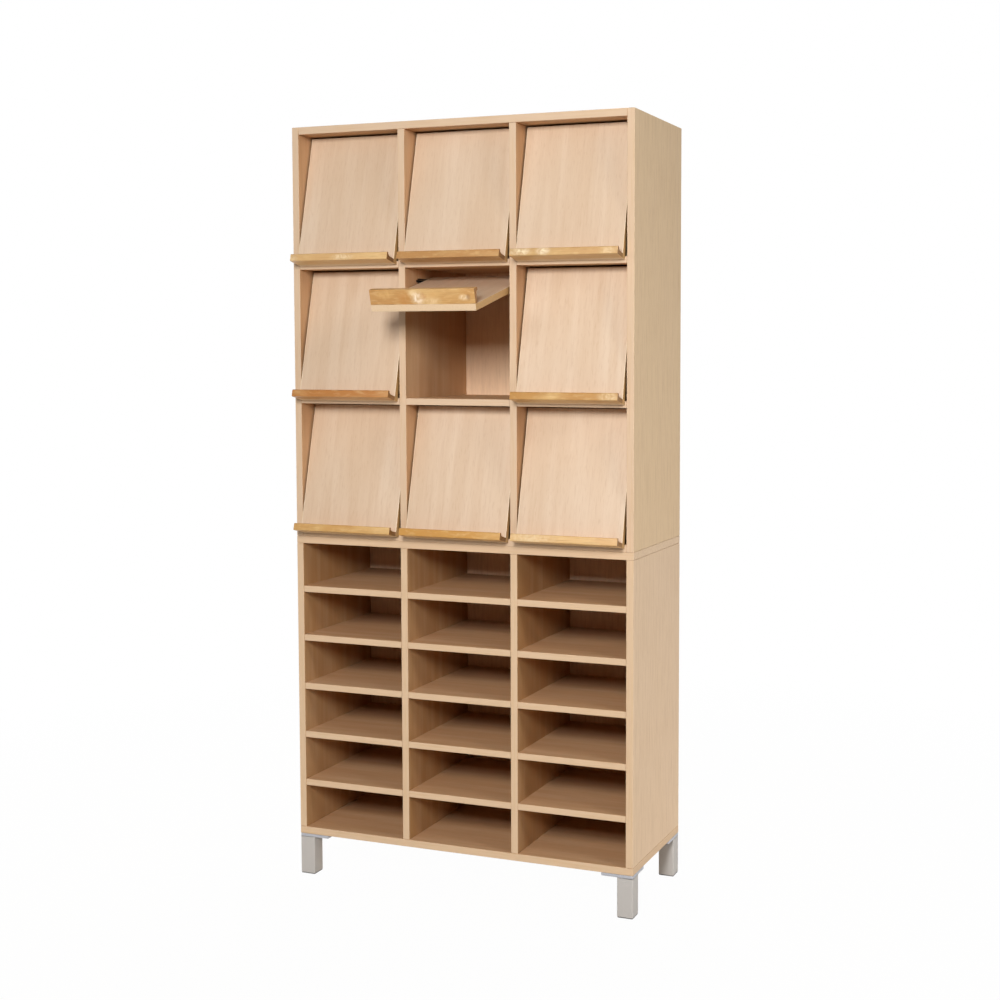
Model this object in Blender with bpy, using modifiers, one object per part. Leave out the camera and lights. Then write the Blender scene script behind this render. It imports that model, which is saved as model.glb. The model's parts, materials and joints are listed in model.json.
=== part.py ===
"""Literature sorter cabinet: a pigeonhole unit on square legs below, a display unit above.

Each display compartment is closed by a sloping flap with a ledge for literature. A steel rod near
the top of the flap runs in grooves in the compartment's walls, so the flap lifts and slides in.
The middle flap stands raised, as the cabinet is used; the others hang closed.
"""

import math

import bmesh
import bpy
from mathutils import Matrix

# Carcass sizes, in metres
CABINET_WIDTH = 0.900
CABINET_DEPTH = 0.350
BOARD_THICKNESS = 0.018
SHELF_THICKNESS = 0.016
BACK_THICKNESS = 0.008
BACK_SETBACK = 0.004
BACK_HOUSING = 0.006
COLUMNS = 3
PIGEONHOLE_ROWS = 6
PIGEONHOLE_HEIGHT = 0.108
DISPLAY_ROWS = 3
DISPLAY_HEIGHT = 0.316
EDGE_RADIUS = 0.001
EDGE_STEPS = 2
FIT = 0.0003

# Flap, its pivot rod and the grooves that the rod runs in
FLAP_THICKNESS = 0.016
FLAP_SIDE_GAP = 0.004
FLAP_TOP_GAP = 0.004
FLAP_OVERLAP = 0.009
PIVOT_DROP = 0.030
PIVOT_SETBACK = 0.060
ROD_DIAMETER = 0.006
ROD_SIDES = 16
ROD_CHAMFER = 0.0008
GROOVE_DEPTH = 0.0065
GROOVE_TRAVEL = 0.210
GROOVE_END_STEPS = 6
ROD_END_PLAY = 0.001
RAISED_TRAVEL = 0.058
RAISED_SLOPE = math.radians(14.0)
RAISED_FLAP = (1, 1)

# Ledge that holds the literature at the foot of a flap
LEDGE_PROJECTION = 0.035
LIP_HEIGHT = 0.018
LIP_THICKNESS = 0.007
LIP_RADIUS = 0.003
LEDGE_FLOOR = 0.0105
LEDGE_FOOT_RADIUS = 0.002
ARC_STEPS = 5

# Legs, their mounting plates and glides
LEG_HEIGHT = 0.104
LEG_SIZE = 0.040
LEG_WALL = 0.002
LEG_CORNER = 0.004
LEG_CORNER_STEPS = 4
PLATE_SIZE = 0.080
PLATE_THICKNESS = 0.007
PLATE_CORNER = 0.003
PLATE_HOLE_DIAMETER = 0.0055
GLIDE_THICKNESS = 0.003
GLIDE_INSET = 0.0005
GLIDE_PLUG_HEIGHT = 0.012
HOLE_SIDES = 12

# Connecting bolts between the two units
BOLT_DIAMETER = 0.008
BOLT_HEAD_DIAMETER = 0.017
BOLT_HEAD_HEIGHT = 0.0025
BOLT_SIDES = 20
BOLT_INSET = 0.060

# Sizes that follow from the ones above
COLUMN_WIDTH = (CABINET_WIDTH - (COLUMNS + 1) * BOARD_THICKNESS) / COLUMNS
COLUMN_PITCH = COLUMN_WIDTH + BOARD_THICKNESS
BACK_REAR = CABINET_DEPTH - BACK_SETBACK
BACK_FRONT = BACK_REAR - BACK_THICKNESS
INNER_DEPTH = BACK_FRONT - FIT
PIGEONHOLE_PITCH = PIGEONHOLE_HEIGHT + SHELF_THICKNESS
LOWER_HEIGHT = PIGEONHOLE_ROWS * PIGEONHOLE_PITCH - SHELF_THICKNESS + 2 * BOARD_THICKNESS
DISPLAY_PITCH = DISPLAY_HEIGHT + SHELF_THICKNESS
UPPER_HEIGHT = DISPLAY_ROWS * DISPLAY_PITCH - SHELF_THICKNESS + 2 * BOARD_THICKNESS
UPPER_TOP_LEVEL = LOWER_HEIGHT + UPPER_HEIGHT
UPPER_CEILING = UPPER_TOP_LEVEL - BOARD_THICKNESS

FLAP_WIDTH = COLUMN_WIDTH - 2 * FLAP_SIDE_GAP
HALF_FLAP = FLAP_THICKNESS / 2
FLAP_HEAD = math.sqrt((PIVOT_DROP - FLAP_TOP_GAP) ** 2 - HALF_FLAP**2)
PIVOT_ABOVE_SHELF = DISPLAY_HEIGHT - PIVOT_DROP
# The closed flap's back just meets the front arris of the shelf below it.
CLOSED_TILT = math.atan2(PIVOT_SETBACK + FIT, PIVOT_ABOVE_SHELF) + math.asin(
    HALF_FLAP / math.hypot(PIVOT_SETBACK + FIT, PIVOT_ABOVE_SHELF)
)
FLAP_TAIL = (PIVOT_ABOVE_SHELF + FLAP_OVERLAP - HALF_FLAP * math.sin(CLOSED_TILT)) / math.cos(CLOSED_TILT)
RAISED_TILT = math.pi / 2 - RAISED_SLOPE
ROD_RADIUS = ROD_DIAMETER / 2
ROD_LENGTH = COLUMN_WIDTH + 2 * (GROOVE_DEPTH - ROD_END_PLAY)

# The raised ledge's foot is the foremost point, and the model is centred between it and the rear.
FOOT_ALONG = FLAP_TAIL - LEDGE_FOOT_RADIUS
FOOT_OUT = HALF_FLAP + FIT + LEDGE_PROJECTION - LEDGE_FOOT_RADIUS
FRONT_REACH = (
    FOOT_ALONG * math.sin(RAISED_TILT)
    + FOOT_OUT * math.cos(RAISED_TILT)
    + LEDGE_FOOT_RADIUS
    - PIVOT_SETBACK
    - RAISED_TRAVEL
)
FRONT_PLANE = (FRONT_REACH - CABINET_DEPTH) / 2


def clear_scene():
    for obj in list(bpy.data.objects):
        bpy.data.objects.remove(obj, do_unlink=True)


def make_collection(name):
    collection = bpy.data.collections.new(name)
    bpy.context.scene.collection.children.link(collection)
    return collection


def make_material(name, colour, roughness, metallic=0.0):
    material = bpy.data.materials.new(name)
    material.use_nodes = True
    shader = material.node_tree.nodes["Principled BSDF"]
    shader.inputs["Base Color"].default_value = (*colour, 1.0)
    shader.inputs["Roughness"].default_value = roughness
    shader.inputs["Metallic"].default_value = metallic
    return material


clear_scene()
PARTS = make_collection("literature_sorter_cabinet")
CUTTERS = make_collection("cutters")
MAPLE = make_material("maple_board", (0.74, 0.58, 0.45), 0.5)
BIRCH = make_material("birch_ledge", (0.72, 0.49, 0.23), 0.45)
STEEL = make_material("bright_steel", (0.62, 0.62, 0.63), 0.3, 1.0)
LEG_METAL = make_material("silver_coated_steel", (0.55, 0.55, 0.55), 0.4, 0.8)
GLIDE_PLASTIC = make_material("grey_glide", (0.12, 0.12, 0.12), 0.6)

# Everything hangs on this empty: x from the left side, y back from the front, z up from the carcass.
CARCASS_FRAME = bpy.data.objects.new("carcass_frame", None)
CARCASS_FRAME.location = (-CABINET_WIDTH / 2, FRONT_PLANE, LEG_HEIGHT)
PARTS.objects.link(CARCASS_FRAME)


def place(name, mesh, material=None, at=(0, 0, 0), parent=CARCASS_FRAME):
    """A finished piece, or a cutter where it has no material."""
    obj = bpy.data.objects.new(name, mesh)
    obj.parent = parent
    obj.location = at
    if material is None:
        CUTTERS.objects.link(obj)
        obj.hide_render = True
        obj.display_type = "WIRE"
        return obj
    PARTS.objects.link(obj)
    if not mesh.materials:
        mesh.materials.append(material)
    return obj


def box_mesh(name, size):
    mesh = bpy.data.meshes.new(name)
    bm = bmesh.new()
    bmesh.ops.create_cube(bm, size=1.0)
    bmesh.ops.scale(bm, vec=size, verts=bm.verts)
    bm.to_mesh(mesh)
    bm.free()
    return mesh


def box_between(name, low, high, material=None):
    size = [b - a for a, b in zip(low, high)]
    middle = [(a + b) / 2 for a, b in zip(low, high)]
    return place(name, box_mesh(name, size), material, middle)


def ease_edges(obj, radius=EDGE_RADIUS):
    """The small rounding that edge banding leaves on a board."""
    bevel = obj.modifiers.new("eased_edges", "BEVEL")
    bevel.width = radius
    bevel.segments = EDGE_STEPS
    bevel.limit_method = "NONE"


def board(name, low, high, material=MAPLE):
    obj = box_between(name, low, high, material)
    ease_edges(obj)
    return obj


def boolean(obj, other, operation="DIFFERENCE"):
    modifier = obj.modifiers.new(other.name, "BOOLEAN")
    modifier.operation = operation
    modifier.solver = "EXACT"
    modifier.object = other


def baked_mesh(obj):
    """The object's shape with its modifiers, as a plain mesh that copies can share."""
    graph = bpy.context.evaluated_depsgraph_get()
    graph.update()
    mesh = bpy.data.meshes.new_from_object(obj.evaluated_get(graph))
    mesh.name = obj.name
    bpy.data.objects.remove(obj, do_unlink=True)
    return mesh


def arc(centre, radius, start, end, steps):
    angles = [math.radians(start + (end - start) * i / steps) for i in range(steps + 1)]
    return [(centre[0] + radius * math.cos(a), centre[1] + radius * math.sin(a)) for a in angles]


def rounded_square(half, corner, steps):
    inner = half - corner
    corners = [((inner, inner), 0), ((-inner, inner), 90), ((-inner, -inner), 180), ((inner, -inner), 270)]
    return [p for centre, start in corners for p in arc(centre, corner, start, start + 90, steps)]


def extruded_mesh(name, outlines, length, along_x=False):
    """Flat outlines extruded to a length: up from xy or, along x, from (y, z) points."""
    curve = bpy.data.curves.new(name, "CURVE")
    curve.dimensions = "2D"
    curve.fill_mode = "BOTH"
    curve.extrude = length / 2
    for outline in outlines:
        spline = curve.splines.new("POLY")
        spline.points.add(len(outline) - 1)
        spline.use_cyclic_u = True
        for point, (u, v) in zip(spline.points, outline):
            point.co = (u, v, 0, 1)
    guide = bpy.data.objects.new(name, curve)
    CUTTERS.objects.link(guide)
    mesh = baked_mesh(guide)
    bpy.data.curves.remove(curve)
    if along_x:
        mesh.transform(Matrix(((0, 0, 1, 0), (1, 0, 0, 0), (0, 1, 0, 0), (0, 0, 0, 1))))
    bm = bmesh.new()
    bm.from_mesh(mesh)
    bmesh.ops.remove_doubles(bm, verts=bm.verts, dist=1e-6)
    bmesh.ops.recalc_face_normals(bm, faces=bm.faces)
    bm.to_mesh(mesh)
    bm.free()
    return mesh


def turned_mesh(name, diameter, length, sides, axis="Z"):
    mesh = bpy.data.meshes.new(name)
    bm = bmesh.new()
    radius = diameter / 2
    bmesh.ops.create_cone(bm, cap_ends=True, segments=sides, radius1=radius, radius2=radius, depth=length)
    if axis == "X":
        bmesh.ops.rotate(bm, verts=bm.verts, matrix=Matrix.Rotation(math.pi / 2, 3, "Y"))
    bm.to_mesh(mesh)
    bm.free()
    return mesh


def smooth(obj):
    obj.data.shade_smooth()
    obj.data.set_sharp_from_angle(angle=math.radians(35))


def column_left(column):
    return BOARD_THICKNESS + column * COLUMN_PITCH


def pigeonhole_floor(row):
    """Height of the floor of a pigeonhole, counted up from the lowest."""
    return BOARD_THICKNESS + row * PIGEONHOLE_PITCH


def display_ceiling(row):
    """Height of the ceiling of a display compartment, counted down from the top."""
    return UPPER_CEILING - row * DISPLAY_PITCH


def cross_halved_shelf(name, underside):
    """A shelf across all columns, notched from the front where a divider's front half passes."""
    low = (BOARD_THICKNESS + FIT, 0, underside)
    high = (CABINET_WIDTH - BOARD_THICKNESS - FIT, INNER_DEPTH, underside + SHELF_THICKNESS)
    shelf = board(name, low, high)
    for divider in range(1, COLUMNS):
        left = column_left(divider) - BOARD_THICKNESS
        notch = box_between(
            f"{name}_notch_{divider}",
            (left - FIT, -FIT, underside - FIT),
            (left + BOARD_THICKNESS + FIT, INNER_DEPTH / 2 + FIT, underside + SHELF_THICKNESS + FIT),
        )
        boolean(shelf, notch)


def slotted_divider(name, divider, floor, ceiling, shelf_undersides):
    """An upright between columns, slotted from the rear for the rear half of each shelf."""
    left = column_left(divider) - BOARD_THICKNESS
    right = left + BOARD_THICKNESS
    upright = board(name, (left, 0, floor + FIT), (right, INNER_DEPTH, ceiling - FIT))
    for i, underside in enumerate(shelf_undersides, 1):
        slot = box_between(
            f"{name}_slot_{i}",
            (left - FIT, INNER_DEPTH / 2, underside - FIT),
            (right + FIT, INNER_DEPTH + FIT, underside + SHELF_THICKNESS + FIT),
        )
        boolean(upright, slot)
    return upright


def housed_back(name, bottom, top, frame_boards):
    """A thin back panel let into a groove round the inside of its carcass."""
    low = (BOARD_THICKNESS - BACK_HOUSING, BACK_FRONT, bottom + BOARD_THICKNESS - BACK_HOUSING)
    high = (CABINET_WIDTH - low[0], BACK_REAR, top - BOARD_THICKNESS + BACK_HOUSING)
    housing = box_between(f"{name}_housing", low, high)
    box_between(name, [v + FIT for v in low], [v - FIT for v in high], MAPLE)
    for frame_board in frame_boards:
        boolean(frame_board, housing)


def lower_unit():
    """Open pigeonholes; the top and bottom lie over and under the sides."""
    right = CABINET_WIDTH - BOARD_THICKNESS
    ceiling = LOWER_HEIGHT - BOARD_THICKNESS
    undersides = [pigeonhole_floor(row) - SHELF_THICKNESS for row in range(1, PIGEONHOLE_ROWS)]
    bottom = board("lower_bottom", (0, 0, 0), (CABINET_WIDTH, CABINET_DEPTH, BOARD_THICKNESS))
    top = board("lower_top", (0, 0, ceiling), (CABINET_WIDTH, CABINET_DEPTH, LOWER_HEIGHT))
    sides = [
        board(name, (x, 0, BOARD_THICKNESS + FIT), (x + BOARD_THICKNESS, CABINET_DEPTH, ceiling - FIT))
        for name, x in (("lower_side_left", 0), ("lower_side_right", right))
    ]
    for divider, name in zip(range(1, COLUMNS), ("lower_divider_left", "lower_divider_right")):
        slotted_divider(name, divider, BOARD_THICKNESS, ceiling, undersides)
    for i, underside in enumerate(undersides, 1):
        cross_halved_shelf(f"lower_shelf_{i}", underside)
    housed_back("lower_back", 0, LOWER_HEIGHT, [bottom, top, *sides])
    return top


def rod_groove(name, column, row, side):
    """Cutter for the round-ended groove that one end of a flap's rod runs in."""
    reach = ROD_RADIUS + FIT
    front = arc((PIVOT_SETBACK, 0), reach, 90, 270, GROOVE_END_STEPS)
    rear = arc((PIVOT_SETBACK + GROOVE_TRAVEL, 0), reach, -90, 90, GROOVE_END_STEPS)
    mesh = extruded_mesh(name, [front + rear], 2 * GROOVE_DEPTH, along_x=True)
    x = column_left(column) + side * COLUMN_WIDTH
    return place(name, mesh, at=(x, 0, display_ceiling(row) - PIVOT_DROP))


def upper_unit():
    """Display compartments; the top and bottom are set between the sides."""
    low = LOWER_HEIGHT + FIT
    floor = LOWER_HEIGHT + BOARD_THICKNESS
    right = CABINET_WIDTH - BOARD_THICKNESS
    across = (BOARD_THICKNESS + FIT, right - FIT)
    undersides = [display_ceiling(row) for row in range(1, DISPLAY_ROWS)]
    bottom = board("upper_bottom", (across[0], 0, low), (across[1], CABINET_DEPTH, floor))
    top = board("upper_top", (across[0], 0, UPPER_CEILING), (across[1], CABINET_DEPTH, UPPER_TOP_LEVEL))
    sides = [
        board(name, (x, 0, low), (x + BOARD_THICKNESS, CABINET_DEPTH, UPPER_TOP_LEVEL))
        for name, x in (("upper_side_left", 0), ("upper_side_right", right))
    ]
    dividers = [
        slotted_divider(name, divider, floor, UPPER_CEILING, undersides)
        for divider, name in zip(range(1, COLUMNS), ("upper_divider_left", "upper_divider_right"))
    ]
    for i, underside in enumerate(undersides, 1):
        cross_halved_shelf(f"upper_shelf_{i}", underside)
    housed_back("upper_back", LOWER_HEIGHT, UPPER_TOP_LEVEL, [bottom, top, *sides])
    walls = [sides[0], *dividers, sides[1]]
    for column in range(COLUMNS):
        for row in range(DISPLAY_ROWS):
            for side in (0, 1):
                groove = rod_groove(f"rod_groove_{row + 1}_{column + 1}_{side}", column, row, side)
                boolean(walls[column + side], groove)
    return bottom


def flap_panel_mesh():
    """Flap panel about its pivot, with a groove across its back that the rod lies in."""
    height = FLAP_HEAD + FLAP_TAIL
    panel = place("flap_panel", box_mesh("flap_panel", (FLAP_WIDTH, FLAP_THICKNESS, height)), MAPLE)
    panel.data.transform(Matrix.Translation((0, 0, (FLAP_HEAD - FLAP_TAIL) / 2)))
    ease_edges(panel)
    reach = ROD_RADIUS + FIT
    open_back = [(HALF_FLAP + FIT, -reach), (HALF_FLAP + FIT, reach)]
    seat = arc((0, 0), reach, 90, 270, GROOVE_END_STEPS)
    seat_mesh = extruded_mesh("rod_seat", [open_back + seat], FLAP_WIDTH + 2 * FIT, along_x=True)
    boolean(panel, place("rod_seat", seat_mesh))
    return baked_mesh(panel)


def ledge_mesh():
    """Ledge profile: flat foot, rounded lip, and a cove down to the floor behind the lip."""
    face = -HALF_FLAP - FIT
    front = face - LEDGE_PROJECTION
    foot = -FLAP_TAIL
    top = foot + LIP_HEIGHT
    floor = foot + LEDGE_FLOOR
    cove = LIP_HEIGHT - LEDGE_FLOOR
    lip_back = front + LIP_THICKNESS
    foot_round = (front + LEDGE_FOOT_RADIUS, foot + LEDGE_FOOT_RADIUS)
    lip_round = (front + LIP_RADIUS, top - LIP_RADIUS)
    profile = [(face, foot)]
    profile += arc(foot_round, LEDGE_FOOT_RADIUS, 270, 180, ARC_STEPS)
    profile += arc(lip_round, LIP_RADIUS, 180, 90, ARC_STEPS)
    profile += arc((lip_back + cove, top), cove, 180, 270, ARC_STEPS)
    profile.append((face, floor))
    return extruded_mesh("flap_ledge", [profile], FLAP_WIDTH, along_x=True)


def rod_mesh():
    rod = place("pivot_rod", turned_mesh("pivot_rod", ROD_DIAMETER, ROD_LENGTH, ROD_SIDES, "X"), STEEL)
    ends = rod.modifiers.new("end_chamfer", "BEVEL")
    ends.width = ROD_CHAMFER
    ends.segments = 1
    ends.limit_method = "ANGLE"
    ends.angle_limit = math.radians(60)
    return baked_mesh(rod)


def flaps():
    panel, ledge, rod = flap_panel_mesh(), ledge_mesh(), rod_mesh()
    for row in range(DISPLAY_ROWS):
        for column in range(COLUMNS):
            raised = (row, column) == RAISED_FLAP
            mark = f"{row + 1}_{column + 1}"
            pivot = bpy.data.objects.new(f"flap_pivot_{mark}", None)
            pivot.parent = CARCASS_FRAME
            pivot.location = (
                column_left(column) + COLUMN_WIDTH / 2,
                PIVOT_SETBACK + (RAISED_TRAVEL if raised else 0),
                display_ceiling(row) - PIVOT_DROP,
            )
            pivot.rotation_euler.x = -(RAISED_TILT if raised else CLOSED_TILT)
            PARTS.objects.link(pivot)
            place(f"flap_panel_{mark}", panel, MAPLE, parent=pivot)
            place(f"flap_ledge_{mark}", ledge, BIRCH, parent=pivot)
            smooth(place(f"pivot_rod_{mark}", rod, STEEL, parent=pivot))


def leg_mesh():
    """Square tube welded under the corner of its mounting plate, open below for the glide."""
    half_plate = PLATE_SIZE / 2
    half_leg = LEG_SIZE / 2
    to_corner = half_plate - half_leg
    tube_height = LEG_HEIGHT - GLIDE_THICKNESS - PLATE_THICKNESS / 2
    outer = rounded_square(half_leg, LEG_CORNER, LEG_CORNER_STEPS)
    inner = rounded_square(half_leg - LEG_WALL, LEG_CORNER - LEG_WALL, LEG_CORNER_STEPS)
    tube_mesh = extruded_mesh("leg_tube", [outer, inner], tube_height)
    tube = place("leg_tube", tube_mesh, at=(-to_corner, -to_corner, -PLATE_THICKNESS / 2 - tube_height / 2))
    plate_outline = rounded_square(half_plate, PLATE_CORNER, LEG_CORNER_STEPS)
    leg = place("leg", extruded_mesh("leg_plate", [plate_outline], PLATE_THICKNESS), LEG_METAL)
    leg.location.z = -PLATE_THICKNESS / 2
    boolean(leg, tube, "UNION")
    for i, (x, y) in enumerate(((1, 1), (1, -1), (-1, 1)), 1):
        drill_mesh = turned_mesh("plate_hole", PLATE_HOLE_DIAMETER, 2 * PLATE_THICKNESS, HOLE_SIDES)
        at = (x * to_corner, y * to_corner, -PLATE_THICKNESS / 2)
        boolean(leg, place(f"plate_hole_{i}", drill_mesh, at=at))
    bpy.context.view_layer.update()
    shift = leg.location.copy()
    mesh = baked_mesh(leg)
    mesh.transform(Matrix.Translation(shift))
    return mesh


def glide_mesh():
    """Plastic foot with a plug that fits inside the tube."""
    half_leg = LEG_SIZE / 2
    to_corner = PLATE_SIZE / 2 - half_leg
    foot_outline = rounded_square(half_leg - GLIDE_INSET, LEG_CORNER, LEG_CORNER_STEPS)
    half_plug = half_leg - LEG_WALL - FIT
    plug_outline = rounded_square(half_plug, LEG_CORNER - LEG_WALL, LEG_CORNER_STEPS)
    foot = place("glide", extruded_mesh("glide_foot", [foot_outline], GLIDE_THICKNESS - FIT), GLIDE_PLASTIC)
    plug_height = GLIDE_PLUG_HEIGHT + GLIDE_THICKNESS / 2
    plug = place("glide_plug", extruded_mesh("glide_plug", [plug_outline], plug_height))
    plug.location.z = plug_height / 2
    boolean(foot, plug, "UNION")
    mesh = baked_mesh(foot)
    mesh.transform(Matrix.Translation((-to_corner, -to_corner, -LEG_HEIGHT + (GLIDE_THICKNESS - FIT) / 2)))
    return mesh


def legs():
    """One mesh turned to each corner; its tube stands flush with the carcass's two faces."""
    leg, glide = leg_mesh(), glide_mesh()
    near = PLATE_SIZE / 2
    far_x = CABINET_WIDTH - near
    far_y = CABINET_DEPTH - near
    corners = (("front_left", near, near), ("front_right", far_x, near),
               ("rear_right", far_x, far_y), ("rear_left", near, far_y))
    for turn, (corner, x, y) in enumerate(corners):
        for name, mesh, material in (("leg", leg, LEG_METAL), ("glide", glide, GLIDE_PLASTIC)):
            piece = place(f"{name}_{corner}", mesh, material, at=(x, y, 0))
            piece.location.z = -FIT if name == "leg" else 0
            piece.rotation_euler.z = turn * math.pi / 2


def unit_bolts(lower_top, upper_bottom):
    """Connecting bolts that hold the upper unit down on the lower one."""
    grip = 2 * BOARD_THICKNESS
    shank = turned_mesh("unit_bolt", BOLT_DIAMETER, grip + 2 * FIT + BOLT_HEAD_HEIGHT, BOLT_SIDES)
    head = turned_mesh("bolt_head", BOLT_HEAD_DIAMETER, BOLT_HEAD_HEIGHT, BOLT_SIDES)
    bore = turned_mesh("bolt_bore", BOLT_DIAMETER + 2 * FIT, 2 * grip, BOLT_SIDES)
    inset_x = BOARD_THICKNESS + BOLT_INSET
    spots = [(x, y) for x in (inset_x, CABINET_WIDTH - inset_x) for y in (BOLT_INSET, BACK_FRONT - BOLT_INSET)]
    for i, (x, y) in enumerate(spots, 1):
        drill = place(f"bolt_bore_{i}", bore, at=(x, y, LOWER_HEIGHT))
        boolean(lower_top, drill)
        boolean(upper_bottom, drill)
        bolt = place(f"unit_bolt_{i}", shank.copy(), STEEL, at=(x, y, LOWER_HEIGHT))
        for end in (-1, 1):
            z = LOWER_HEIGHT + end * (grip / 2 + FIT + BOLT_HEAD_HEIGHT / 2)
            boolean(bolt, place(f"bolt_head_{i}_{end}", head, at=(x, y, z)), "UNION")


unit_bolts(lower_unit(), upper_unit())
flaps()
legs()
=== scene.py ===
import json
import math

import bmesh
import bpy
import numpy as np
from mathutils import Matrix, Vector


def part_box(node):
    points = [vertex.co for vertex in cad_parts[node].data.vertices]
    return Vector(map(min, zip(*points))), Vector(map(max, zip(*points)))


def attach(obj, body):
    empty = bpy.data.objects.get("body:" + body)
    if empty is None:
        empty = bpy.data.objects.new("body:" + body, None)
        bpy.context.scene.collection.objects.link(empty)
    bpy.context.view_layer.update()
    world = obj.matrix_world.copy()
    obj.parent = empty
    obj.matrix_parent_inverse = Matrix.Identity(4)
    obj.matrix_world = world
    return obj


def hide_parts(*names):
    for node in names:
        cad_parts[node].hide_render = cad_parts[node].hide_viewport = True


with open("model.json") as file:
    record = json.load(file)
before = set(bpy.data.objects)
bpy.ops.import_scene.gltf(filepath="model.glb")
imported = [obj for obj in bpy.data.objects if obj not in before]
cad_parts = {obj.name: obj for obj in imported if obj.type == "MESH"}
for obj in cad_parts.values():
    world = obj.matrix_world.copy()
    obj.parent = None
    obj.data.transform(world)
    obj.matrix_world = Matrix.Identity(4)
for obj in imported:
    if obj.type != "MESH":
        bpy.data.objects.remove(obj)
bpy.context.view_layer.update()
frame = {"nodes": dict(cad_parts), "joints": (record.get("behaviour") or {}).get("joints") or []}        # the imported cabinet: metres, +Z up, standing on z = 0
nodes = frame["nodes"]
marks = [f"{row}_{column}" for row in (1, 2, 3) for column in (1, 2, 3)]
corners = ("front_left", "front_right", "rear_right", "rear_left")     # each a quarter turn on
mmInMetre = 1000
sharpAngle = math.radians(40)     # an edge that turns more than this stays sharp
print("frame loaded:", len(nodes), "nodes")


def linearColor(hexValue):
    # sRGB hex to the linear colour that a shader reads
    srgb = np.array([int(hexValue[i:i + 2], 16) / 255 for i in (1, 3, 5)])
    linear = np.where(srgb <= 0.04045, srgb / 12.92, ((srgb + 0.055) / 1.055) ** 2.4)
    return (*linear.tolist(), 1.0)


def addNode(tree, kind, links=None, **settings):
    # one shader node: settings are its properties, links its inputs, each a value or an output
    node = tree.nodes.new(kind)
    for key, value in settings.items():
        setattr(node, key, value)
    for socket, value in (links or {}).items():
        if isinstance(value, bpy.types.NodeSocket):
            tree.links.new(value, node.inputs[socket])
        else:
            node.inputs[socket].default_value = value
    return node


def newMaterial(name):
    material = bpy.data.materials.new(name)
    material.use_nodes = True
    return material, material.node_tree, material.node_tree.nodes["Principled BSDF"]


def finish(piece, material):
    piece.data.materials.clear()
    piece.data.materials.append(material)


def grainFields(tree, vector, axis, patterns):
    # noise drawn out along the grain; each pattern is its width in mm, its length in widths, its detail
    fields = {}
    for key, (widthMm, drawn, detail) in patterns.items():
        scale = [1.0, 1.0, 1.0]
        scale["XYZ".index(axis)] = 1 / drawn
        along = addNode(tree, "ShaderNodeMapping", {"Vector": vector, "Scale": scale})
        noise = addNode(tree, "ShaderNodeTexNoise", {
            "Vector": along.outputs[0], "Scale": mmInMetre / widthMm, "Detail": detail})
        fields[key] = noise.outputs["Fac"]
    return fields


def layeredColor(tree, base, layers, fields):
    # lays tones over a base colour: field, its low and high, the tone and its greatest share
    color = base
    for key, low, high, tone, share in layers:
        mask = addNode(tree, "ShaderNodeMapRange", {
            "Value": fields[key], "From Min": low, "From Max": high, "To Min": 0.0, "To Max": share})
        mix = addNode(tree, "ShaderNodeMix", {
            0: mask.outputs[0], 6: color, 7: linearColor(tone)}, data_type="RGBA")
        color = mix.outputs[2]
    return color


def surfaceMesh(name, shells):
    # each shell is rings of points [along, around, xyz]: quads join neighbouring points, and one face
    # closes each end
    points, faces, start = [], [], 0
    for rings in shells:
        along, around = rings.shape[:2]
        index = start + np.arange(along * around).reshape(along, around)
        here, ahead = index[:-1], index[1:]
        quads = np.stack([here, np.roll(here, -1, axis=1), np.roll(ahead, -1, axis=1), ahead], axis=-1)
        faces += quads.reshape(-1, 4).tolist()
        faces += [index[0].tolist(), index[-1].tolist()]
        points.append(rings.reshape(-1, 3))
        start += along * around
    mesh = bpy.data.meshes.new(name)
    mesh.from_pydata(np.concatenate(points).tolist(), [], faces)
    shape = bmesh.new()
    shape.from_mesh(mesh)
    bmesh.ops.recalc_face_normals(shape, faces=shape.faces)
    shape.to_mesh(mesh)
    shape.free()
    mesh.shade_smooth()
    mesh.set_sharp_from_angle(angle=sharpAngle)
    return mesh


def makePiece(name, shells, material, body, replaced=()):
    piece = bpy.data.objects.new(name, surfaceMesh(name, shells))
    bpy.context.scene.collection.objects.link(piece)
    finish(piece, material)
    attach(piece, body)
    if replaced:
        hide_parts(*replaced)


def arcPoints(centre, radius, start, end, steps=10):
    # points round a centre, at even angles from start to end in degrees
    angle = np.radians(np.linspace(start, end, steps + 1))
    return np.stack([centre[0] + radius * np.cos(angle), centre[1] + radius * np.sin(angle)], axis=-1)


def roundedBox(halfWide, halfTall, corner, steps=8):
    # four quarter arcs about centres set in from a box's corners, run together
    wide, tall = halfWide - corner, halfTall - corner
    return np.concatenate([arcPoints((wide * sx, tall * sy), corner, start, start + 90, steps)
                           for sx, sy, start in ((1, 1, 0), (-1, 1, 90), (-1, -1, 180), (1, -1, 270))])


def outwardNormals(outline):
    # across the line from the point before to the point after, for an outline that runs anticlockwise
    ahead = np.roll(outline, -1, axis=0) - np.roll(outline, 1, axis=0)
    normal = np.stack([ahead[:, 1], -ahead[:, 0]], axis=-1)
    return normal / np.linalg.norm(normal, axis=1, keepdims=True)


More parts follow.
